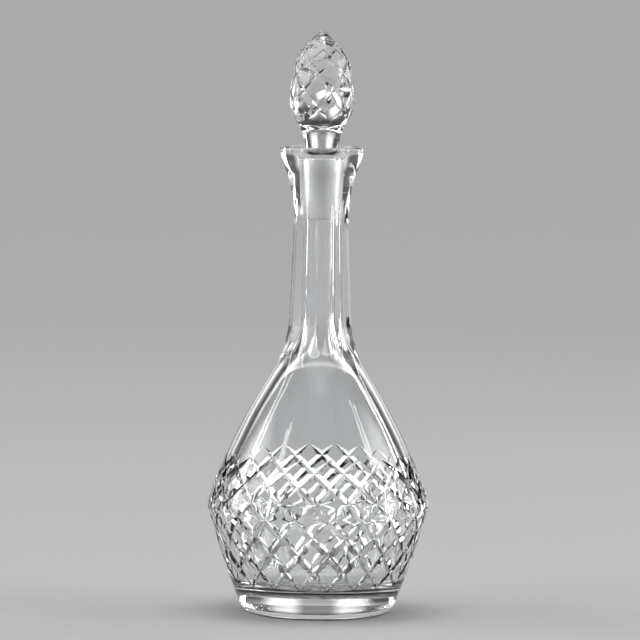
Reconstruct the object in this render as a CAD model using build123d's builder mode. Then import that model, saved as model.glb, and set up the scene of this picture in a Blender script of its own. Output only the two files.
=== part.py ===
# Cut-glass decanter with a loose ground stopper, in millimetres, +Z up.
# The origin is the centre of the circle that the decanter stands on, and one
# flat panel of its eight-sided neck faces -Y.

import os
from math import atan2, cos, degrees, hypot, radians, sqrt

from build123d import *

# Base of the decanter
rest_ring_inner = 34.5
rest_ring_outer = 39.4
underside_hollow = 1.3
heel_radius = 44.2
heel_height = 6.3
heel_bulge = 0.8

# Outside of the bowl, from its widest ridge up to the foot of the neck
ridge_radius = 62.6
ridge_height = 61.8
ridge_round = 11.0
lower_wall_bulge = 1.0
shoulder_length = 86.5
shoulder_bulge = 2.0
cone_length = 23.0
cone_slope = 0.62

# Outside of the neck and the mouth
neck_root_radius = 18.75
neck_root_round = 60.0
neck_length = 87.3
neck_waist_radius = 15.0
neck_waist_round = 70.0
flare_length = 20.4
lip_foot_radius = 22.9
lip_foot_round = 30.0
lip_length = 6.7
lip_radius = 23.5
rim_round = 1.5

# Flat panels cut down the neck
panel_count = 8
panel_trim = 0.15
panel_foot_drop = 1.4
panel_foot_slope = 0.85
panel_foot_round = 40.0
panel_head_drop = 9.1
panel_head_slope = 0.27
panel_head_round = 80.0
panel_arch_height = 12.5

# Inside of the decanter
floor_thickness = 13.5
floor_radius = 41.0
floor_round = 14.0
wall = 6.2
ridge_inner_round = 20.0
bore_radius = 7.4
bore_entry_round = 45.0
mouth_radius = 19.0
mouth_depth = 5.7

# Ground seat in the mouth, and the peg that fits it
seat_length = 34.8
seat_top_radius = 8.3
seat_taper = 0.03
seat_clearance = 0.05
peg_end_chamfer = 0.7

# Head of the stopper
waist_length = 17.5
waist_hollow = 0.55
cone_top_radius = 12.8
cone_top_round = 8.0
belly_length = 13.5
belly_bulge = 0.95
head_radius = 18.35
ovoid_length = 50.0
tip_above_belly = 39.9
facet_count = 7
facet_turn = 24.4
facet_length = 24.9
facet_radius = 18.4
facet_bulge = 2.3
facet_overrun = 4.0

# Diamond lattice cut round the bowl: grooves of both hands, each in three strokes, one above the ridge
groove_count = 20
groove_depth = 1.5
groove_half_width = 2.4
lattice_turn = 4.0
ridge_turn = 4.8
ridge_loss = 0.45
upper_tip_rise = 29.3
upper_tip_turn = 32.7
upper_depth = 1.35
middle_drop = 21.8
middle_turn = 20.1
middle_depth = 1.5
lower_tip_drop = 45.2
lower_tip_turn = 41.3
lower_depth = 1.3
stroke_overrun = 5.0
stroke_lift = 0.5

# Lattice cut round the stopper's head
head_groove_count = 7
head_groove_depth = 0.95
head_groove_half_width = 1.5
head_lattice_turn = 4.8
head_tip_rise = 26.6
head_tip_turn = 77.0
head_foot_drop = 10.6
head_foot_turn = 53.0

# Waste of a groove stands this far above its bottom, clear of the glass
groove_reach = 3.2

# Star cut in the hollow underside
ray_count = 24
ray_inner = 1.5
ray_widest = 23.0
ray_outer = 31.0
ray_depth = 1.2
ray_fill = 0.95
ray_clearance = 0.05

# Heights and radii that follow from the sizes above
neck_root_height = ridge_height + shoulder_length
waist_height = neck_root_height + neck_length
lip_foot_height = waist_height + flare_length
rim_height = lip_foot_height + lip_length
cone_foot_height = neck_root_height - cone_length
cone_foot_radius = neck_root_radius + cone_slope * cone_length
bore_entry_height = neck_root_height - (bore_radius + wall - neck_root_radius) / cone_slope
seat_top = rim_height - mouth_depth
seat_bottom = seat_top - seat_length
seat_bottom_radius = seat_top_radius - seat_taper * seat_length
belly_height = seat_top + waist_length + belly_length
tip_height = belly_height + tip_above_belly


def panel_radius(height):
    """Distance from the axis to the flat of a neck panel, on its straight stretch."""
    narrowing = (neck_root_radius - neck_waist_radius) / neck_length
    across_corners = neck_root_radius - narrowing * (height - neck_root_height)
    return across_corners * cos(radians(180 / panel_count)) - panel_trim


def bulged_radius(height, low, high, bulge):
    """Radius at a height on the shallow arc that bulges from the chord between two outline points."""
    rise = high[1] - low[1]
    share = (height - low[1]) / rise
    chord = hypot(high[0] - low[0], rise)
    return low[0] + share * (high[0] - low[0]) + 4 * bulge * share * (1 - share) * chord / rise


def bowl_outside(height):
    """Outside radius of the uncut bowl at a height."""
    if height < ridge_height:
        return bulged_radius(height, heel_top, ridge, lower_wall_bulge)
    return bulged_radius(height, ridge, cone_foot, shoulder_bulge)


def head_outside(height):
    """Outside radius of the stopper's uncut head at a height."""
    if height < belly_height:
        return bulged_radius(height, cone_top, belly, belly_bulge)
    swing = (ovoid_length**2 + head_radius**2) / (2 * head_radius)
    return head_radius - swing + sqrt(swing**2 - (height - belly_height) ** 2)


def outward(outside, height, turn):
    """The way straight out of a turned surface at a height and a turn about the axis."""
    step = 0.5
    slope = (outside(height + step) - outside(height - step)) / (2 * step)
    return Vector(1, 0, -slope).normalized().rotate(Axis.Z, turn)


def buried(outside, height, turn, depth):
    """The point at a depth under a turned surface."""
    surface = Vector(outside(height), 0, height).rotate(Axis.Z, turn)
    return surface - outward(outside, height, turn) * depth


def groove_waste(outside, tip, foot, depth, spread, overrun=0):
    """The V-edged ring that a cutting wheel's stroke takes out, from its tip to its foot and on.

    The tip and the foot are each a height, a turn and a depth, depth is the one halfway between
    them, and spread is the groove's half width for each millimetre of its depth.
    """
    start = buried(outside, *tip)
    end = buried(outside, *foot)
    between = (start + end) / 2
    turn = degrees(atan2(between.Y, between.X))
    way_out = outward(outside, between.Z, turn)
    cover = (buried(outside, between.Z, turn, 0) - between).dot(way_out)
    with BuildPart() as waste:
        with BuildLine():
            bottom = ThreePointArc(start, between + way_out * (cover - depth), end)
        arm = bottom @ 0 - bottom.arc_center
        with BuildSketch(Plane(origin=bottom @ 0, x_dir=arm, z_dir=bottom % 0)):
            with BuildLine():
                reach_width = spread * groove_reach
                Polyline((0, 0), (groove_reach, reach_width), (groove_reach, -reach_width), close=True)
            make_face()
        revolve(
            axis=Axis(bottom.arc_center, arm.cross(bottom % 0)),
            revolution_arc=degrees((bottom.length + overrun) / bottom.radius),
        )
    return waste.part


os.makedirs("parts", exist_ok=True)

# Corners of the two outlines, before they are rounded
heel_top = (heel_radius, heel_height)
ridge = (ridge_radius, ridge_height)
cone_foot = (cone_foot_radius, cone_foot_height)
neck_root = (neck_root_radius, neck_root_height)
waist = (neck_waist_radius, waist_height)
lip_foot = (lip_foot_radius, lip_foot_height)
rim = (lip_radius, rim_height)
peg_bottom = (seat_bottom_radius - seat_clearance, seat_bottom)
peg_top = (seat_top_radius - seat_clearance, seat_top)
cone_top = (cone_top_radius, seat_top + waist_length)
belly = (head_radius, belly_height)

# One neck panel's waste: what lies outside the panel, drawn side-on and run both ways across it
panel_foot = neck_root_height - panel_foot_drop
panel_head = waist_height - panel_head_drop
panel_top = panel_head + panel_arch_height
foot_corner = (panel_radius(panel_foot), panel_foot)
head_corner = (panel_radius(panel_head), panel_head)
panel_reach = 2 * neck_root_radius
with BuildPart() as panel_waste:
    with BuildSketch(Plane.XZ) as panel_side:
        with BuildLine():
            Polyline(
                (panel_reach, panel_foot - panel_foot_slope * (panel_reach - foot_corner[0])),
                foot_corner,
                head_corner,
                (head_corner[0] + panel_head_slope * panel_arch_height, panel_top),
                (panel_reach, panel_top),
                close=True,
            )
        make_face()
        fillet(panel_side.vertices().sort_by_distance(foot_corner)[0], panel_foot_round)
        fillet(panel_side.vertices().sort_by_distance(head_corner)[0], panel_head_round)
    extrude(amount=neck_root_radius, both=True)

# One ray's waste: a long four-sided pyramid that lies along the hollow, its point up in the glass
ray_half_width = ray_widest * radians(180 / ray_count) * ray_fill
ray_drop = underside_hollow * (ray_outer / rest_ring_inner) ** 2
ray_span = ray_outer - ray_inner
ray_plane = Plane(
    origin=(ray_inner, 0, underside_hollow - ray_clearance),
    x_dir=(ray_span, 0, -ray_drop),
    z_dir=(ray_drop, 0, ray_span),
)
with BuildPart() as ray_waste:
    with BuildSketch(ray_plane) as ray_plan:
        with BuildLine():
            Polyline(
                (0, 0),
                (ray_widest - ray_inner, ray_half_width),
                (ray_span, 0),
                (ray_widest - ray_inner, -ray_half_width),
                close=True,
            )
        make_face()
    loft(sections=[ray_plan.sketch.face(), Vertex(ray_widest, 0, underside_hollow + ray_depth)])

# Space inside the decanter, from its thick floor up through the seat to the mouth
with BuildPart() as hollow:
    with BuildSketch(Plane.XZ) as hollow_side:
        floor_corner = (floor_radius, floor_thickness)
        ridge_corner = (ridge_radius - wall, ridge_height)
        entry_corner = (bore_radius, bore_entry_height)
        with BuildLine():
            Polyline((0, rim_height), (0, floor_thickness), floor_corner)
            SagittaArc(floor_corner, ridge_corner, -lower_wall_bulge)
            SagittaArc(ridge_corner, (cone_foot_radius - wall, cone_foot_height), -shoulder_bulge)
            Polyline(
                (cone_foot_radius - wall, cone_foot_height),
                entry_corner,
                (seat_bottom_radius, seat_bottom),
                (seat_top_radius, seat_top),
            )
            EllipticalCenterArc(
                (mouth_radius, seat_top),
                mouth_radius - seat_top_radius,
                mouth_depth,
                start_angle=90,
                arc_size=90,
            )
            Line((mouth_radius, rim_height), (0, rim_height))
        make_face()
        fillet(hollow_side.vertices().sort_by_distance(floor_corner)[0], floor_round)
        fillet(hollow_side.vertices().sort_by_distance(ridge_corner)[0], ridge_inner_round)
        fillet(hollow_side.vertices().sort_by_distance(entry_corner)[0], bore_entry_round)
    revolve(axis=Axis.Z)

# Decanter: the blown body, then the panels, the lattice, the inside and the star
upper_tip = (ridge_height + upper_tip_rise, upper_tip_turn, -stroke_lift)
ridge_foot = (ridge_height, 0, groove_depth + ridge_loss)
middle = (ridge_height - middle_drop, -middle_turn, groove_depth)
lower_tip = (ridge_height - lower_tip_drop, -lower_tip_turn, -stroke_lift)
strokes = [
    (upper_tip, ridge_foot, upper_depth),
    (middle, ridge_foot, middle_depth),
    (lower_tip, middle, lower_depth),
]
with BuildPart() as decanter_body:
    with BuildSketch(Plane.XZ) as body_side:
        with BuildLine():
            SagittaArc((0, underside_hollow), (rest_ring_inner, 0), underside_hollow / 4)
            Line((rest_ring_inner, 0), (rest_ring_outer, 0))
            SagittaArc((rest_ring_outer, 0), heel_top, -heel_bulge)
            SagittaArc(heel_top, ridge, -lower_wall_bulge)
            SagittaArc(ridge, cone_foot, -shoulder_bulge)
            Polyline(cone_foot, neck_root, waist, lip_foot, rim, (0, rim_height), (0, underside_hollow))
        make_face()
        fillet(body_side.vertices().sort_by_distance(ridge)[0], ridge_round)
        fillet(body_side.vertices().sort_by_distance(neck_root)[0], neck_root_round)
        fillet(body_side.vertices().sort_by_distance(waist)[0], neck_waist_round)
        fillet(body_side.vertices().sort_by_distance(lip_foot)[0], lip_foot_round)
        fillet(body_side.vertices().sort_by_distance(rim)[0], rim_round)
    revolve(axis=Axis.Z)
    with PolarLocations(0, panel_count, start_angle=-90):
        add(panel_waste.part, mode=Mode.SUBTRACT)
    for tip, foot, depth in strokes:
        for hand in (1, -1):
            stroke = groove_waste(
                bowl_outside,
                tip=(tip[0], hand * tip[1], tip[2]),
                foot=(foot[0], hand * foot[1], foot[2]),
                depth=depth,
                spread=groove_half_width / groove_depth,
                overrun=stroke_overrun,
            )
            with PolarLocations(0, groove_count, start_angle=lattice_turn - hand * ridge_turn - 90):
                add(stroke, mode=Mode.SUBTRACT)
    add(hollow.part, mode=Mode.SUBTRACT)
    with PolarLocations(0, ray_count):
        add(ray_waste.part, mode=Mode.SUBTRACT)

# One facet's waste at the stopper's point: what lies outside its slightly rounded face
facet_end = (facet_radius, tip_height - facet_length)
waste_top = tip_height + head_radius
with BuildPart() as facet_waste:
    with BuildSketch(Plane.XZ):
        with BuildLine():
            face_line = SagittaArc((0, tip_height), facet_end, facet_bulge)
            past_tip = face_line @ 0 - face_line % 0 * facet_overrun
            Polyline(
                face_line @ 0,
                past_tip,
                (past_tip.X, waste_top),
                (2 * head_radius, waste_top),
                (2 * head_radius, facet_end[1]),
                facet_end,
            )
        make_face()
    extrude(amount=head_radius, both=True)

# Stopper: one solid piece, with its tapered peg, waist, egg-shaped head and pointed top
with BuildPart() as stopper:
    with BuildSketch(Plane.XZ) as stopper_side:
        with BuildLine():
            Polyline((0, belly_height + ovoid_length), (0, seat_bottom), peg_bottom, peg_top)
            SagittaArc(peg_top, cone_top, waist_hollow)
            SagittaArc(cone_top, belly, -belly_bulge)
            TangentArc(belly, (0, belly_height + ovoid_length), tangent=(0, 1))
        make_face()
        fillet(stopper_side.vertices().sort_by_distance(cone_top)[0], cone_top_round)
        chamfer(stopper_side.vertices().sort_by_distance(peg_bottom)[0], peg_end_chamfer)
    revolve(axis=Axis.Z)
    for hand in (1, -1):
        stroke = groove_waste(
            head_outside,
            tip=(belly_height + head_tip_rise, hand * head_tip_turn, -stroke_lift),
            foot=(belly_height - head_foot_drop, -hand * head_foot_turn, -stroke_lift),
            depth=head_groove_depth,
            spread=head_groove_half_width / head_groove_depth,
        )
        with PolarLocations(0, head_groove_count, start_angle=head_lattice_turn - 90):
            add(stroke, mode=Mode.SUBTRACT)
    with PolarLocations(0, facet_count, start_angle=facet_turn - 90):
        add(facet_waste.part, mode=Mode.SUBTRACT)

decanter_body.part.label = "decanter_body"
stopper.part.label = "stopper"
export_step(decanter_body.part, "parts/decanter_body.step")
export_step(stopper.part, "parts/stopper.step")
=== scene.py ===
# Cut-glass decanter and stopper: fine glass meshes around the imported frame, in metres.
# Shapes are worked out in millimetres, as turned outlines with cuts, and scaled as they are made.

from math import atan2, cos, hypot, pi, radians, sin, tan

import bpy
import numpy as np
from mathutils import Matrix, Vector


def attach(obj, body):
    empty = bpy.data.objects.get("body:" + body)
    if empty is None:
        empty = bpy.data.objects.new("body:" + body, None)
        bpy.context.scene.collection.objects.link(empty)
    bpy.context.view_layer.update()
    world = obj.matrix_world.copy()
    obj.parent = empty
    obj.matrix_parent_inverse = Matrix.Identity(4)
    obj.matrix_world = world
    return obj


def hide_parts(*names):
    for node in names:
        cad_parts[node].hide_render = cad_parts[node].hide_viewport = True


MM = 0.001

# Camera, from the photograph: metres, turns, and the lens in millimetres
camera_azimuth = radians(-11.6)
camera_distance = 3.0
camera_height = 0.395
camera_tilt = radians(4.384)
camera_roll = radians(0.62)
camera_lens = 300.9
camera_reach = 200

# Outside of the decanter
rest_ring_inner = 34.5
rest_ring_outer = 39.4
underside_hollow = 1.3
heel_radius = 44.2
heel_height = 6.3
heel_bulge = 0.8
ridge_radius = 62.6
ridge_height = 61.8
ridge_round = 11.0
lower_wall_bulge = 1.0
shoulder_length = 86.5
shoulder_bulge = 2.0
cone_length = 23.0
cone_slope = 0.62
neck_root_radius = 18.75
neck_root_round = 60.0
neck_length = 87.3
neck_waist_radius = 15.0
neck_waist_round = 70.0
flare_length = 20.4
flare_end_drop = 8.0
lip_foot_radius = 22.9
lip_foot_round = 30.0
lip_length = 6.7
lip_radius = 23.5
rim_round = 1.5

# Flat panels cut down the neck
panel_count = 8
panel_trim = 0.15
panel_foot_drop = 1.4
panel_foot_slope = 0.85
panel_foot_round = 40.0
panel_head_drop = 9.1
panel_head_slope = 0.27
panel_head_round = 80.0
panel_arch_height = 12.5

# Inside of the decanter
floor_thickness = 13.5
floor_radius = 41.0
floor_round = 14.0
wall = 6.2
ridge_inner_round = 20.0
bore_radius = 7.4
bore_entry_round = 45.0
mouth_radius = 19.0
mouth_depth = 5.7

# Ground seat and the stopper
seat_length = 34.8
seat_top_radius = 8.3
seat_taper = 0.03
seat_clearance = 0.05
peg_end_chamfer = 0.7
waist_length = 17.5
waist_hollow = 0.55
cone_top_radius = 12.8
cone_top_round = 8.0
belly_length = 13.5
belly_bulge = 0.95
head_radius = 18.35
ovoid_length = 50.0
tip_above_belly = 39.9
facet_length = 24.9
facet_radius = 18.4
facet_bulge = 2.3

# Lattice round the bowl and the one round the stopper's head
groove_count = 20
groove_depth = 1.5
groove_half_width = 2.4
lattice_turn = radians(4.0)
ridge_turn = radians(4.8)
upper_row_rise = 10.0
upper_row_slowing = 0.53
lower_row_drop = 9.9
lattice_top_row = 3.0
lattice_bottom_row = -5.0
run_out_rows = 1.6
stroke_lift = 0.5
head_groove_count = 7
head_groove_depth = 0.95
head_groove_half_width = 1.5
head_lattice_turn = radians(4.8)
head_tip_rise = 26.6
head_tip_turn = radians(77.0)
head_foot_drop = 10.6
head_foot_turn = radians(53.0)

# Star cut in the hollow underside
ray_count = 24
ray_inner = 1.5
ray_widest = 23.0
ray_outer = 31.0
ray_depth = 1.2
ray_fill = 0.95

# Heights and radii that follow
neck_root_height = ridge_height + shoulder_length
waist_height = neck_root_height + neck_length
lip_foot_height = waist_height + flare_length
rim_height = lip_foot_height + lip_length
cone_foot_height = neck_root_height - cone_length
cone_foot_radius = neck_root_radius + cone_slope * cone_length
bore_entry_height = neck_root_height - (bore_radius + wall - neck_root_radius) / cone_slope
seat_top = rim_height - mouth_depth
seat_bottom = seat_top - seat_length
seat_bottom_radius = seat_top_radius - seat_taper * seat_length
belly_height = seat_top + waist_length + belly_length
tip_height = belly_height + tip_above_belly

# Kinds of surface, as material numbers on the meshes
CUT, BLOWN, GROUND, BASE, GROOVE, STAR = range(6)

# Finish of each kind: name, roughness, ripples in each metre, height of a ripple in metres, and the span of
# roughness on a face that has been ground or rubbed
finishes = [
    ("cut_crystal", 0.0, 70, 0.00004, None),
    ("fire_polished_crystal", 0.0, 28, 0.00025, None),
    ("ground_crystal", 0.3, 900, 0.00001, (0.3, 0.5)),
    ("worn_base_crystal", 0.1, 400, 0.00001, (0.03, 0.3)),
    ("wheel_cut_crystal", 0.05, 300, 0.00002, None),
    ("star_cut_crystal", 0.2, 300, 0.00002, None),
]
crystal_ior = 1.54
clear_tint = (0.985, 0.99, 0.99, 1)
cord_tint = (0.975, 0.985, 0.988, 1)
cord_span = (0.35, 0.65)
cord_scale = 45
grain_scale = 1500
grain_span = (0.3, 0.7)

# Studio floor
stage_reach = 60.0
stage_colour = (0.535, 0.535, 0.543, 1)
stage_roughness = 0.7

# World: the brightness of each part, and the spans in which it fades, as cosines of the angle from its axis
wall_level = 0.05
horizon_level = 0.4
horizon_fade = (0.08, 0.16)
overhead_level = 1.9
overhead_fade = (0.82, 0.9)
side_level = 2.2
side_fade = (0.80, 0.86)
side_foot_fade = (0.02, 0.08)
side_top_fade = (0.7, 0.8)
back_level = 1.3
back_middle = 0.2
back_middle_fade = (0.1, 0.26)
back_end_fade = (0.34, 0.58)
back_front_fade = (0.3, 0.4)
back_foot_fade = (0.04, 0.08)
back_top_fade = (0.25, 0.5)

# Lamps, in watts and metres. The strips stand where their pools of light on the floor stay out of view.
overhead_power = 3
overhead_size = (1.1, 1.1)
overhead_height = 1.9
strip_power = 3.5
strip_size = (0.11, 1.5)
strip_foot = 0.02
strip_distance = 1.5
strip_turns = [radians(degree) for degree in (67.5, 112.5, -67.5, -112.5)]

# Fineness of the meshes: lines in each pitch of a lattice, rows of crossings, rings in each part, spacings
# in millimetres, and how finely heights are tried
bowl_lines = 12
bowl_rows = (-6, 4)
head_lines = 23
head_rows = (-2, 2)
row_margin = 1.2
narrowest_line = 0.03
width_passes = 25
heel_rings = 9
foot_rings = 4
shoulder_rings = 26
panel_rings = 60
flare_rings = 12
collar_shares = (0.34, 0.67, 1)
facet_rings = 24
facet_edge_share = 0.881
facet_foot_gap = 0.15
facet_tip_gap = 0.2
corner_steps = 12
ovoid_steps = 200
outline_spacing = 0.1
lip_spacing = 0.9
inner_spacing = 1.6
waist_skip = 9
smallest_ring = 0.8
end_margin = 0.5
row_tries = 400
lattice_tries = 4000
panel_tries = 6000
facet_tries = 3000
same_point = 1e-6
same_turn = 1e-4
sharp_angle = radians(18)


def arc(start, end, bulge, steps=24):
    """Points along a shallow arc between two outline points; a positive bulge swells outward."""
    start, end = np.array(start, float), np.array(end, float)
    chord = end - start
    side = np.array([chord[1], -chord[0]]) / np.hypot(*chord)
    share = np.linspace(0, 1, steps + 1)[:, None]
    return start + share * chord + 4 * bulge * share * (1 - share) * side


def line(start, end, steps=12):
    """Points along a straight run between two outline points."""
    return arc(start, end, 0, steps)


def rounded(runs, rounds):
    """Joins runs of outline points, with each corner between two runs rounded to its radius."""
    out = [runs[0]]
    for run, radius in zip(runs[1:], rounds):
        last = out.pop()
        if not radius:
            out += [last, run[1:]]
            continue
        before, after = last[-1] - last[-2], run[1] - run[0]
        turn = abs(atan2(before[0] * after[1] - before[1] * after[0], before @ after))
        reach = radius * tan(turn / 2)
        corner = run[0]
        last = last[np.hypot(*(last - corner).T) > reach]
        run = run[np.hypot(*(run - corner).T) > reach]
        head = corner - before / np.hypot(*before) * reach
        tail = corner + after / np.hypot(*after) * reach
        share = np.linspace(0, 1, corner_steps + 1)[:, None]
        bend = (1 - share) ** 2 * head + 2 * share * (1 - share) * corner + share**2 * tail
        out += [last, bend, run]
    return np.concatenate(out)


def spaced(points, spacing):
    """The same outline with its points evenly spaced along it."""
    points = points[np.concatenate([[True], np.hypot(*np.diff(points, axis=0).T) > same_point])]
    along = np.concatenate([[0], np.cumsum(np.hypot(*np.diff(points, axis=0).T))])
    even = np.linspace(0, along[-1], max(2, int(round(along[-1] / spacing)) + 1))
    return np.stack([np.interp(even, along, points[:, k]) for k in (0, 1)], axis=1)


def polar(radius, turn, height):
    """Points at a radius, a turn and a height round the middle line."""
    radius, turn, height = np.broadcast_arrays(radius, turn, height)
    return np.stack([radius * np.cos(turn), radius * np.sin(turn), height], axis=-1)


class Turned:
    """A turned surface whose radius is known at every height."""

    def __init__(self, outline):
        fine = spaced(outline, outline_spacing)
        self.heights, self.radii = fine[:, 1], fine[:, 0]
        self.slopes = np.gradient(self.radii, self.heights)

    def radius(self, height):
        return np.interp(height, self.heights, self.radii)

    def slope(self, height):
        return np.interp(height, self.heights, self.slopes)

    def point(self, height, turn, depth=0.0):
        """The point at a depth straight under the surface."""
        slope = self.slope(height)
        scale = 1 / np.hypot(1, slope)
        return polar(self.radius(height) - depth * scale, turn, height + depth * scale * slope)


def circle_through(a, b, c):
    """Centre and radius of the circle through three points in space."""
    ab, ac = b - a, c - a
    axis = np.cross(ab, ac)
    to_centre = (np.cross(axis, ab) * (ac @ ac) + np.cross(ac, axis) * (ab @ ab)) / (2 * axis @ axis)
    return a + to_centre, np.linalg.norm(to_centre)


class Stroke:
    """One stroke of the cutting wheel: a plane arc that runs into a turned surface and out again.

    Its two ends are each a height, a turn and a depth under the surface.
    """

    def __init__(self, surface, tip, foot, depth):
        self.surface = surface
        start, end = surface.point(*tip), surface.point(*foot)
        between = (start + end) / 2
        turn = atan2(between[1], between[0])
        top = surface.point(between[2], turn)
        way_out = top - surface.point(between[2], turn, 1.0)
        middle = between + way_out * ((top - between) @ way_out - depth)
        self.normal = np.cross(end - start, way_out)
        self.offset = self.normal @ start
        self.centre, self.bend = circle_through(start, middle, end)

        def miss(branch):
            self.branch = branch
            return abs(self.turn(foot[0]) - foot[1])

        self.branch = min((-1, 1), key=miss)

    def turn(self, height):
        """The turn at which the stroke crosses a height."""
        x, y, z = self.normal
        share = (self.offset - z * height) / (self.surface.radius(height) * hypot(x, y))
        turn = atan2(y, x) + self.branch * np.arccos(np.clip(share, -1, 1))
        return (turn + pi) % (2 * pi) - pi

    def depth(self, height):
        """How deep the groove is where the stroke crosses a height."""
        on_surface = self.surface.point(height, self.turn(height))
        return np.linalg.norm(on_surface - self.centre, axis=-1) - self.bend


class Shell:
    """A closed glass surface built up ring by ring, each ring with the same number of points."""

    def __init__(self):
        self.points, self.faces, self.kinds, self.sharp = [], [], [], []
        self.count = 0

    def add(self, points):
        """Adds points and returns their numbers."""
        points = np.asarray(points, float).reshape(-1, 3)
        first = self.count
        self.points.append(points)
        self.count += len(points)
        return np.arange(first, self.count)

    def ring(self, height, turn, radius):
        """Adds a ring of points and returns their numbers."""
        return self.add(polar(radius, turn, height))

    def join(self, low, high, kind=CUT):
        """Quads between two rings that go the same way round."""
        low_next, high_next = np.roll(low, -1), np.roll(high, -1)
        self.face(np.stack([low, low_next, high_next, high], axis=1), kind)

    def close(self, ring, tip, kind=CUT, upward=True):
        """Triangles from a ring to one point."""
        tips = np.full(len(ring), tip)
        following = np.roll(ring, -1)
        order = (ring, following, tips) if upward else (following, ring, tips)
        self.face(np.stack(order, axis=1), kind)

    def face(self, corners, kind=CUT):
        """Adds faces, all of one kind or each of its own."""
        self.faces += [tuple(c) for c in np.asarray(corners).tolist()]
        self.kinds += np.broadcast_to(kind, len(corners)).tolist()

    def crease(self, numbers, others):
        """Marks the edges between paired points as sharp."""
        pairs = np.sort(np.stack([numbers, others], axis=1), axis=1)
        self.sharp += [tuple(pair) for pair in pairs.tolist()]

    def build(self, name, materials):
        """The finished Blender object: smooth but for its cut edges."""
        # Turn 0 comes to face -Y, and turns grow towards +X
        points = np.concatenate(self.points)
        points = np.stack([points[:, 1], -points[:, 0], points[:, 2]], axis=1) * MM
        mesh = bpy.data.meshes.new(name)
        mesh.from_pydata(points.tolist(), [], self.faces)
        mesh.update()
        mesh.polygons.foreach_set("use_smooth", [True] * len(mesh.polygons))
        mesh.polygons.foreach_set("material_index", self.kinds)
        mesh.set_sharp_from_angle(angle=sharp_angle)
        ends = np.empty(2 * len(mesh.edges), int)
        mesh.edges.foreach_get("vertices", ends)
        ends = np.sort(ends.reshape(-1, 2), axis=1)
        wanted = set(self.sharp)
        attribute = mesh.attributes.get("sharp_edge") or mesh.attributes.new("sharp_edge", "BOOLEAN", "EDGE")
        flags = np.zeros(len(mesh.edges), bool)
        attribute.data.foreach_get("value", flags)
        flags |= np.array([tuple(e) in wanted for e in ends.tolist()])
        attribute.data.foreach_set("value", flags)
        for material in materials:
            mesh.materials.append(material)
        mesh.validate()
        piece = bpy.data.objects.new(name, mesh)
        bpy.context.collection.objects.link(piece)
        return piece


def lattice(shell, surface, offset, depth, width_per_depth, count, centre, lines, rows):
    """Adds the band of crossing V grooves. Its mesh runs along the grooves of both hands.

    offset(height) is the turn of a right-hand groove from a column of crossings, and depth(height) its depth.
    Returns the band's lowest and highest rings, with the turn of each of their points.
    """
    pitch = 2 * pi / count
    lowest, highest = surface.heights[0] + end_margin, surface.heights[-1] - end_margin
    heights = np.linspace(lowest, highest, lattice_tries)
    row_at = 2 * offset(heights) / pitch
    rising = np.concatenate([[True], np.diff(row_at) > 0])
    inside = (row_at > rows[0] - row_margin) & (row_at < rows[1] + row_margin) & rising
    heights, row_at = heights[inside], row_at[inside]
    lead = np.gradient(offset(heights), heights)
    run = np.hypot(1, surface.slope(heights))
    across = pitch * surface.radius(heights) * run / np.hypot(run, surface.radius(heights) * lead)
    depths = np.maximum(depth(heights), 0)
    widths = np.maximum(depths * width_per_depth / across, narrowest_line)
    steps = np.arange(rows[0] * lines, rows[1] * lines + 1)
    first = np.repeat(np.arange(count * lines)[:, None], len(steps), axis=1)
    second = first + steps

    def share(number, width):
        place = number % lines
        inner = width + (1 - 2 * width) * (place - 1) / (lines - 2)
        return number // lines + np.where(place == 0, 0, inner)

    # A groove's width depends on its row and a point's row on the widths, so both are settled together
    width = np.full(first.shape, narrowest_line)
    for _ in range(width_passes):
        row = share(second, width) - share(first, width)
        width = np.interp(row, row_at, widths)
    row = share(second, width) - share(first, width)
    turn = centre + pitch * (share(first, width) + share(second, width)) / 2
    height = np.interp(row, row_at, heights)
    a, b = first % lines, second % lines
    depth_here = np.interp(row, row_at, depths)
    cut = np.where((a == 0) | (b == 0), depth_here, 0)
    numbers = shell.add(surface.point(height, turn, cut)).reshape(first.shape)

    ahead = np.roll(numbers, -1, axis=0)
    last = len(steps) - 1
    for k in range(last + 1):
        here, beyond = numbers[:, k], ahead[:, k]
        if k == 0:
            shell.face(np.stack([here, beyond, numbers[:, 1]], axis=1))
            continue
        below = ahead[:, k - 1]
        if k == last:
            shell.face(np.stack([here, below, beyond], axis=1))
            continue
        above = numbers[:, k + 1]
        low_a, low_b = a[:, k] == 0, b[:, k] == 0
        high_a, high_b = a[:, k] == lines - 1, b[:, k] == lines - 1
        level = (low_a & low_b) | (high_a & high_b)
        upright = (low_a & high_b) | (high_a & low_b)
        plain = ~(level | upright)
        kind = np.where((low_a | low_b | high_a | high_b) & (depth_here[:, k] > 0), GROOVE, CUT)
        for corners, which in (
            ((here, below, beyond, above), plain),
            ((here, below, beyond), level),
            ((here, beyond, above), level),
            ((here, below, above), upright),
            ((below, beyond, above), upright),
        ):
            shell.face(np.stack(corners, axis=1)[which], kind[which])
    return (numbers[:, 0], turn[:, 0], height[0, 0]), (numbers[:, -1], turn[:, -1], height[0, -1])


def zipped(shell, inner, inner_turns, outer, outer_turns):
    """Triangles, facing down, between two flat rings whose points don't line up."""
    a, b = np.argsort(inner_turns % (2 * pi)), np.argsort(outer_turns % (2 * pi))
    inner, inner_turns = inner[a], (inner_turns % (2 * pi))[a]
    outer, outer_turns = outer[b], (outer_turns % (2 * pi))[b]
    i = j = 0
    while i < len(inner) or j < len(outer):
        next_inner = inner_turns[(i + 1) % len(inner)] + 2 * pi * ((i + 1) // len(inner))
        next_outer = outer_turns[(j + 1) % len(outer)] + 2 * pi * ((j + 1) // len(outer))
        here, there = inner[i % len(inner)], outer[j % len(outer)]
        if j >= len(outer) or (i < len(inner) and next_inner < next_outer):
            shell.face([[here, inner[(i + 1) % len(inner)], there]], BASE)
            i += 1
        else:
            shell.face([[here, outer[(j + 1) % len(outer)], there]], BASE)
            j += 1


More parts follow.
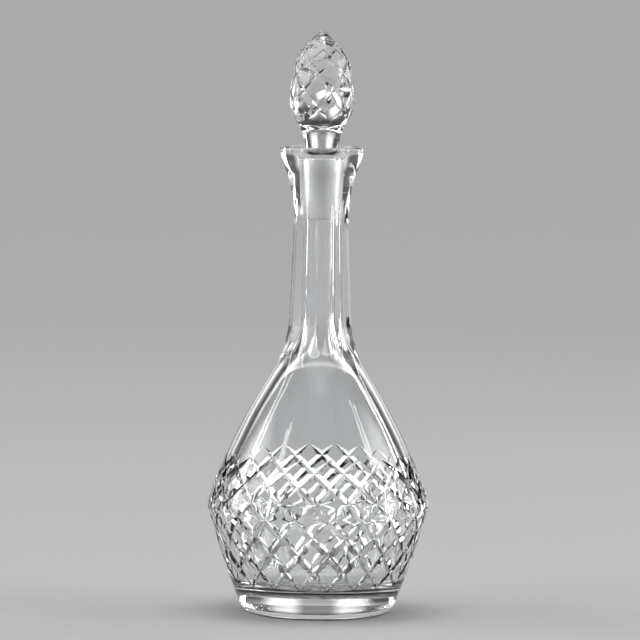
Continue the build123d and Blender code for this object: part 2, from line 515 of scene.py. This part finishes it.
def star_base(shell, rim, rim_turns):
    """The hollow underside with its star of wheel-cut rays, joined to the edge of the resting ring."""

    def hollow_point(radius, turn, lift=0.0):
        return polar(radius, turn, underside_hollow * (1 - (radius / rest_ring_inner) ** 2) + lift)

    turns = 2 * pi * np.arange(ray_count) / ray_count
    between = turns + pi / ray_count
    half = pi / ray_count * ray_fill
    lift = ray_depth + underside_hollow * (ray_widest / rest_ring_inner) ** 2
    centre = shell.add([0, 0, underside_hollow])[0]
    point = shell.add(hollow_point(ray_inner, turns))
    right = shell.add(hollow_point(ray_widest / cos(half), turns + half))
    left = shell.add(hollow_point(ray_widest / cos(half), turns - half))
    deep = shell.add(hollow_point(ray_widest, turns, lift))
    end = shell.add(hollow_point(ray_outer, turns))
    gap = shell.add(hollow_point(ray_outer, between))
    next_left, next_point, next_end = np.roll(left, -1), np.roll(point, -1), np.roll(end, -1)
    for corners in (
        (centre, next_point, point),
        (point, deep, left),
        (point, right, deep),
        (left, deep, end),
        (deep, right, end),
        (point, next_point, next_left, right),
        (right, gap, end),
        (right, next_left, gap),
        (next_left, next_end, gap),
    ):
        shell.face(np.stack(np.broadcast_arrays(*corners), axis=1), STAR)
    ring = np.stack([end, gap], axis=1).reshape(-1)
    ring_turns = np.stack([turns, between], axis=1).reshape(-1)
    inner = shell.add(hollow_point(rest_ring_inner, ring_turns))
    shell.join(inner, ring)
    zipped(shell, inner, ring_turns, rim, rim_turns)


def decanter_outline():
    """The outside of the decanter, from the resting ring up to the rim, before it is cut."""
    heel_top = (heel_radius, heel_height)
    ridge = (ridge_radius, ridge_height)
    cone_foot = (cone_foot_radius, cone_foot_height)
    neck_root = (neck_root_radius, neck_root_height)
    waist = (neck_waist_radius, waist_height)
    lip_foot = (lip_foot_radius, lip_foot_height)
    return rounded(
        [
            arc((rest_ring_outer, 0), heel_top, heel_bulge),
            arc(heel_top, ridge, lower_wall_bulge, steps=60),
            arc(ridge, cone_foot, shoulder_bulge, steps=60),
            line(cone_foot, neck_root, steps=40),
            line(neck_root, waist, steps=60),
            line(waist, lip_foot, steps=20),
            line(lip_foot, (lip_radius, rim_height)),
        ],
        [0, ridge_round, 0, neck_root_round, neck_waist_round, lip_foot_round],
    )


def bowl_lattice(shell, outside):
    """Adds the lattice round the bowl, whose rows of crossings are closer together towards its top."""
    row_turn = pi / groove_count
    ridge_row = -ridge_turn / row_turn
    rows = np.linspace(bowl_rows[0] - 1, bowl_rows[1] + 1, row_tries)
    above = np.maximum(rows - ridge_row, 0)
    below = np.maximum(ridge_row - rows, 0)
    rise = upper_row_rise * above - upper_row_slowing * above**2 - lower_row_drop * below
    row_heights = ridge_height + rise

    def offset(height):
        return row_turn * np.interp(height, row_heights, rows)

    def depth(height):
        row = np.interp(height, row_heights, rows)
        to_tip = np.minimum(lattice_top_row - row, row - lattice_bottom_row) / run_out_rows
        return groove_depth * (1 - (1 - np.clip(to_tip, 0, 1)) ** 2)

    spread = groove_half_width / groove_depth
    return lattice(
        shell, outside, offset, depth, spread, groove_count, lattice_turn, bowl_lines, bowl_rows
    )


def neck_panel():
    """The outline of one flat panel of the neck, and the height at which it ends."""
    half_pitch = pi / panel_count

    def panel_radius(height):
        narrowing = (neck_root_radius - neck_waist_radius) / neck_length
        across_corners = neck_root_radius - narrowing * (height - neck_root_height)
        return across_corners * cos(half_pitch) - panel_trim

    foot_height = neck_root_height - panel_foot_drop
    head_height = waist_height - panel_head_drop
    foot_corner = (panel_radius(foot_height), foot_height)
    head_corner = (panel_radius(head_height), head_height)
    reach = 2 * neck_root_radius
    panel_top = head_height + panel_arch_height
    outline = rounded(
        [
            line((reach, foot_height - panel_foot_slope * (reach - foot_corner[0])), foot_corner, steps=60),
            line(foot_corner, head_corner, steps=60),
            line(head_corner, (head_corner[0] + panel_head_slope * panel_arch_height, panel_top), steps=40),
        ],
        [panel_foot_round, panel_head_round],
    )
    return Turned(outline), panel_top


def mouth_and_inside(lip_side):
    """Runs of outline points from the lip over the rim and down to the inner floor, with their kinds."""
    rim = line((lip_radius, rim_height), (mouth_radius, rim_height))
    lip = rounded([lip_side, rim], [rim_round])
    around = np.linspace(pi / 2, pi, corner_steps + 1)[:, None]
    funnel_radii = mouth_radius + (mouth_radius - seat_top_radius) * np.cos(around)
    funnel = np.hstack([funnel_radii, seat_top + mouth_depth * np.sin(around)])
    seat_foot = (seat_bottom_radius, seat_bottom)
    seat = line((seat_top_radius, seat_top), seat_foot, steps=16)
    floor_edge = (floor_radius, floor_thickness)
    inner_ridge = (ridge_radius - wall, ridge_height)
    inner_root = (cone_foot_radius - wall, cone_foot_height)
    bore_entry = (bore_radius, bore_entry_height)
    inner = rounded(
        [
            line((0, floor_thickness), floor_edge),
            arc(floor_edge, inner_ridge, lower_wall_bulge, steps=60),
            arc(inner_ridge, inner_root, shoulder_bulge, steps=60),
            line(inner_root, bore_entry, steps=60),
            line(bore_entry, seat_foot, steps=60),
        ],
        [floor_round, ridge_inner_round, 0, bore_entry_round],
    )
    blown = spaced(inner, inner_spacing)[::-1]
    return [(spaced(lip, lip_spacing), CUT), (funnel[1:], CUT), (seat[1:], GROUND), (blown[1:], BLOWN)]


def make_decanter(materials):
    """The body: star-cut base, lattice-cut bowl, plain shoulder, panelled neck, mouth and inside."""
    side = decanter_outline()
    outside = Turned(side)
    shell = Shell()
    low, high = bowl_lattice(shell, outside)

    low_ring, low_turns, low_height = low
    heel_heights = np.linspace(0, heel_height, heel_rings)
    foot_heights = np.linspace(heel_height, low_height, foot_rings)[1:-1]
    heights = np.concatenate([heel_heights, foot_heights])
    rings = [shell.add(outside.point(height, low_turns)) for height in heights]
    for below, above in zip(rings, rings[1:] + [low_ring]):
        shell.join(below, above)
    star_base(shell, rings[0], low_turns)

    # The shoulder's lines swing round on their way up, so that one of them meets each edge between panels
    ring, high_turns, high_height = high
    pitch = 2 * pi / panel_count
    edge = high_turns[np.argmin(abs(high_turns % pitch - pitch / 2))]
    shift = (pitch - edge) % pitch - pitch / 2
    turns = high_turns + shift
    facing = (turns + pitch / 2) % pitch - pitch / 2
    panel, panel_top = neck_panel()
    tries = np.linspace(panel.heights[0], panel_top, panel_tries)
    cut = panel.radius(tries) / np.cos(facing)[:, None] < outside.radius(tries)
    cut_foot = tries[np.argmax(cut, axis=1)]
    cut_head = tries[len(tries) - 1 - np.argmax(cut[:, ::-1], axis=1)]
    for share in np.linspace(0, 1, shoulder_rings)[1:]:
        height = high_height + (cut_foot - high_height) * share
        turn = high_turns + shift * share * share * (3 - 2 * share)
        above = shell.ring(height, turn, outside.radius(height))
        shell.join(ring, above)
        ring = above

    edges = abs(abs(facing) - pitch / 2) < same_turn
    shell.crease(ring, np.roll(ring, -1))
    for share in np.linspace(0, 1, panel_rings)[1:]:
        height = cut_foot + (cut_head - cut_foot) * share
        radius = np.minimum(panel.radius(height) / np.cos(facing), outside.radius(height))
        above = shell.ring(height, turns, radius)
        shell.join(ring, above)
        shell.crease(ring[edges], above[edges])
        ring = above
    shell.crease(ring, np.roll(ring, -1))

    flare_end = lip_foot_height - flare_end_drop
    for share in np.linspace(0, 1, flare_rings)[1:]:
        height = cut_head + (flare_end - cut_head) * share
        above = shell.ring(height, turns, outside.radius(height))
        shell.join(ring, above)
        ring = above
    for run, kind in mouth_and_inside(side[side[:, 1] > flare_end]):
        for radius, height in run:
            if radius < smallest_ring:
                break
            following = shell.ring(height, turns, radius)
            shell.join(ring, following, kind)
            ring = following
    shell.close(ring, shell.add([0, 0, floor_thickness])[0], BLOWN)
    return shell.build("decanter_glass", materials)


def make_stopper(materials):
    """The stopper: ground peg, drawn-in waist, lattice-cut head and a point of seven facets."""
    peg_bottom = (seat_bottom_radius - seat_clearance, seat_bottom)
    peg_top = (seat_top_radius - seat_clearance, seat_top)
    cone_top = (cone_top_radius, seat_top + waist_length)
    belly = (head_radius, belly_height)
    swing = (ovoid_length**2 + head_radius**2) / (2 * head_radius)
    rise = np.linspace(0, ovoid_length, ovoid_steps)
    ovoid = np.stack([head_radius - swing + np.sqrt(swing**2 - rise**2), belly_height + rise], axis=1)
    waist_side = arc(peg_top, cone_top, -waist_hollow)
    head = Turned(rounded([waist_side, arc(cone_top, belly, belly_bulge), ovoid], [cone_top_round, 0]))
    tip = (belly_height + head_tip_rise, head_tip_turn, -stroke_lift)
    foot = (belly_height - head_foot_drop, -head_foot_turn, -stroke_lift)
    stroke = Stroke(head, tip, foot, head_groove_depth)
    shell = Shell()
    spread = head_groove_half_width / head_groove_depth
    low, high = lattice(
        shell,
        head,
        stroke.turn,
        stroke.depth,
        spread,
        head_groove_count,
        head_lattice_turn,
        head_lines,
        head_rows,
    )

    low_ring, turns, low_height = low
    peg_edge = (peg_bottom[0] - peg_end_chamfer, peg_bottom[1])
    peg_side = (peg_bottom[0] + seat_taper * peg_end_chamfer, peg_bottom[1] + peg_end_chamfer)
    waist = head.heights[(head.heights > seat_top) & (head.heights < low_height)][::waist_skip]
    runs = [
        (line(peg_side, peg_top, steps=16), GROUND),
        ([(head.radius(height), height) for height in waist[1:]], CUT),
    ]
    ring = shell.ring(peg_edge[1], turns, peg_edge[0])
    shell.close(ring, shell.add([0, 0, seat_bottom])[0], GROUND, upward=False)
    for run, kind in runs:
        for radius, height in run:
            above = shell.ring(height, turns, radius)
            shell.join(ring, above, kind)
            ring = above
    shell.join(ring, low_ring)

    # A short collar over the lattice, and then the facets, whose edges each follow one line of the mesh
    ring, turns, high_height = high
    pitch = 2 * pi / head_groove_count
    edge_line = int(np.argmin(abs((turns[:head_lines] - turns[0]) / pitch - facet_edge_share)))
    facing = (turns - turns[edge_line]) % pitch - pitch / 2
    face = Turned(arc((facet_radius, tip_height - facet_length), (0, tip_height), facet_bulge, steps=80))
    tries = np.linspace(high_height + facet_foot_gap, tip_height - facet_tip_gap, facet_tries)
    cut = face.radius(tries) / np.cos(facing)[:, None] < head.radius(tries)
    start = tries[np.argmax(cut, axis=1)]
    for share in collar_shares:
        height = high_height + (start - high_height) * share
        above = shell.ring(height, turns, head.radius(height))
        shell.join(ring, above)
        ring = above
    shell.crease(ring, np.roll(ring, -1))
    edges = abs(abs(facing) - pitch / 2) < same_turn
    peak = shell.add([0, 0, tip_height])[0]
    for share in np.linspace(0, 1, facet_rings)[1:-1]:
        height = start + (tip_height - start) * share
        radius = np.minimum(face.radius(height) / np.cos(facing), head.radius(height))
        above = shell.ring(height, turns, radius)
        shell.join(ring, above)
        shell.crease(ring[edges], above[edges])
        ring = above
    shell.close(ring, peak)
    shell.crease(ring[edges], np.full(edges.sum(), peak))
    return shell.build("stopper_glass", materials)


def glass(name, roughness, ripple_scale, ripple_height, worn):
    """Clear crystal. Noise gives it faint ripples and cords, and a worn or ground face its own grain."""
    material = bpy.data.materials.new(name)
    material.use_nodes = True
    nodes, links = material.node_tree.nodes, material.node_tree.links
    shader = nodes["Principled BSDF"]
    shader.inputs["Transmission Weight"].default_value = 1
    shader.inputs["IOR"].default_value = crystal_ior
    shader.inputs["Roughness"].default_value = roughness
    place = nodes.new("ShaderNodeTexCoord")

    def noise(scale, detail):
        node = nodes.new("ShaderNodeTexNoise")
        node.inputs["Scale"].default_value = scale
        node.inputs["Detail"].default_value = detail
        links.new(place.outputs["Object"], node.inputs["Vector"])
        return node.outputs["Fac"]

    tint = nodes.new("ShaderNodeValToRGB")
    for element, position, colour in zip(tint.color_ramp.elements, cord_span, (clear_tint, cord_tint)):
        element.position, element.color = position, colour
    links.new(noise(cord_scale, 1), tint.inputs["Fac"])
    links.new(tint.outputs["Color"], shader.inputs["Base Color"])
    ripple = nodes.new("ShaderNodeBump")
    ripple.inputs["Strength"].default_value = 1
    ripple.inputs["Distance"].default_value = ripple_height
    links.new(noise(ripple_scale, 1), ripple.inputs["Height"])
    links.new(ripple.outputs["Normal"], shader.inputs["Normal"])
    if worn:
        grain = nodes.new("ShaderNodeMapRange")
        grain.inputs["From Min"].default_value, grain.inputs["From Max"].default_value = grain_span
        grain.inputs["To Min"].default_value, grain.inputs["To Max"].default_value = worn
        links.new(noise(grain_scale, 4), grain.inputs["Value"])
        links.new(grain.outputs["Result"], shader.inputs["Roughness"])
    return material


def studio_floor():
    """A plain pale floor that reaches past the view on every side."""
    mesh = bpy.data.meshes.new("floor")
    reach = stage_reach
    corners = [(-reach, -reach, 0), (reach, -reach, 0), (reach, reach, 0), (-reach, reach, 0)]
    mesh.from_pydata(corners, [], [(0, 1, 2, 3)])
    finish = bpy.data.materials.new("floor")
    finish.use_nodes = True
    shader = finish.node_tree.nodes["Principled BSDF"]
    shader.inputs["Base Color"].default_value = stage_colour
    shader.inputs["Roughness"].default_value = stage_roughness
    shader.inputs["Specular IOR Level"].default_value = 0
    mesh.materials.append(finish)
    piece = bpy.data.objects.new("floor", mesh)
    bpy.context.collection.objects.link(piece)
    return piece


def studio_world():
    """A room with a pale horizon, dark walls, and bright panels overhead, behind and on each side."""
    world = bpy.data.worlds.new("studio")
    world.use_nodes = True
    nodes, links = world.node_tree.nodes, world.node_tree.links

    def math(operation, *values):
        node = nodes.new("ShaderNodeMath")
        node.operation = operation
        for socket, value in zip(node.inputs, values):
            if isinstance(value, bpy.types.NodeSocket):
                links.new(value, socket)
            else:
                socket.default_value = value
        return node.outputs[0]

    def ramp(value, low, high):
        node = nodes.new("ShaderNodeMapRange")
        node.interpolation_type = "SMOOTHSTEP"
        links.new(value, node.inputs["Value"])
        node.inputs["From Min"].default_value = low
        node.inputs["From Max"].default_value = high
        return node.outputs["Result"]

    def along(direction):
        node = nodes.new("ShaderNodeVectorMath")
        node.operation = "DOT_PRODUCT"
        links.new(coordinates.outputs["Generated"], node.inputs[0])
        node.inputs[1].default_value = direction
        return node.outputs["Value"]

    coordinates = nodes.new("ShaderNodeTexCoord")
    up = along((0, 0, 1))
    right = along((cos(camera_azimuth), sin(camera_azimuth), 0))
    ahead = along((-sin(camera_azimuth), cos(camera_azimuth), 0))
    horizon = math("SUBTRACT", 1.0, ramp(up, *horizon_fade))
    overhead = ramp(up, *overhead_fade)
    side = math("ABSOLUTE", right)
    sides = math("MULTIPLY", ramp(side, *side_fade), ramp(up, *side_foot_fade))
    sides = math("MULTIPLY", sides, math("SUBTRACT", 1.0, ramp(up, *side_top_fade)))
    beside_middle = math("MULTIPLY", ramp(side, *back_middle_fade), 1.0 - back_middle)
    middle = math("ADD", back_middle, beside_middle)
    back = math("MULTIPLY", middle, math("SUBTRACT", 1.0, ramp(side, *back_end_fade)))
    back = math("MULTIPLY", back, ramp(ahead, *back_front_fade))
    back = math("MULTIPLY", back, ramp(up, *back_foot_fade))
    back = math("MULTIPLY", back, math("SUBTRACT", 1.0, ramp(up, *back_top_fade)))
    light = math("ADD", wall_level, math("MULTIPLY", horizon, horizon_level - wall_level))
    light = math("ADD", light, math("MULTIPLY", overhead, overhead_level))
    light = math("ADD", light, math("MULTIPLY", sides, side_level))
    light = math("ADD", light, math("MULTIPLY", back, back_level))
    background = nodes["Background"]
    background.inputs["Color"].default_value = (1, 1, 1, 1)
    links.new(light, background.inputs["Strength"])
    return world


def soft_light(name, power, size, position, target):
    """A rectangular lamp that faces its target and isn't seen by the camera."""
    lamp = bpy.data.lights.new(name, "AREA")
    lamp.shape = "RECTANGLE"
    lamp.size, lamp.size_y = size
    lamp.energy = power
    stand = bpy.data.objects.new(name, lamp)
    bpy.context.collection.objects.link(stand)
    stand.visible_camera = False
    facing = (Vector(position) - Vector(target)).to_track_quat("Z", "Y")
    stand.matrix_world = Matrix.Translation(position) @ facing.to_matrix().to_4x4()


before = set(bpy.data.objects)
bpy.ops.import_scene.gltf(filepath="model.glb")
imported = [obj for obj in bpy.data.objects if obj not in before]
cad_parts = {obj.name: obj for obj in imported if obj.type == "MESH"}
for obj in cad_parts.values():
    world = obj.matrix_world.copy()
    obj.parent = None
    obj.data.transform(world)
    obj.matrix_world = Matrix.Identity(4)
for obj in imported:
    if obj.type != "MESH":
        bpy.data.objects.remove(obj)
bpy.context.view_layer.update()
materials = [glass(*finish) for finish in finishes]
decanter = make_decanter(materials)
stopper = make_stopper(materials)
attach(decanter, "decanter")
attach(stopper, "stopper")
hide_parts("decanter_body")
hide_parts("stopper")

floor = studio_floor()
bpy.context.scene.world = studio_world()
soft_light("overhead", overhead_power, overhead_size, (0, 0, overhead_height), (0, 0, 0))
strip_height = strip_foot + strip_size[1] / 2
for number, turn in enumerate(strip_turns):
    place = (strip_distance * sin(turn), -strip_distance * cos(turn), strip_height)
    soft_light(f"strip_{number}", strip_power, strip_size, place, (0, 0, strip_height))

# Camera
camera = bpy.data.objects.new("camera", bpy.data.cameras.new("camera"))
bpy.context.collection.objects.link(camera)
camera.data.lens = camera_lens
camera.data.clip_end = camera_reach
camera_place = (camera_distance * sin(camera_azimuth), -camera_distance * cos(camera_azimuth), camera_height)
camera.matrix_world = (
    Matrix.Translation(camera_place)
    @ Matrix.Rotation(camera_azimuth, 4, "Z")
    @ Matrix.Rotation(pi / 2 - camera_tilt, 4, "X")
    @ Matrix.Rotation(camera_roll, 4, "Z")
)
bpy.context.scene.camera = camera
bpy.context.scene.view_settings.view_transform = "Standard"
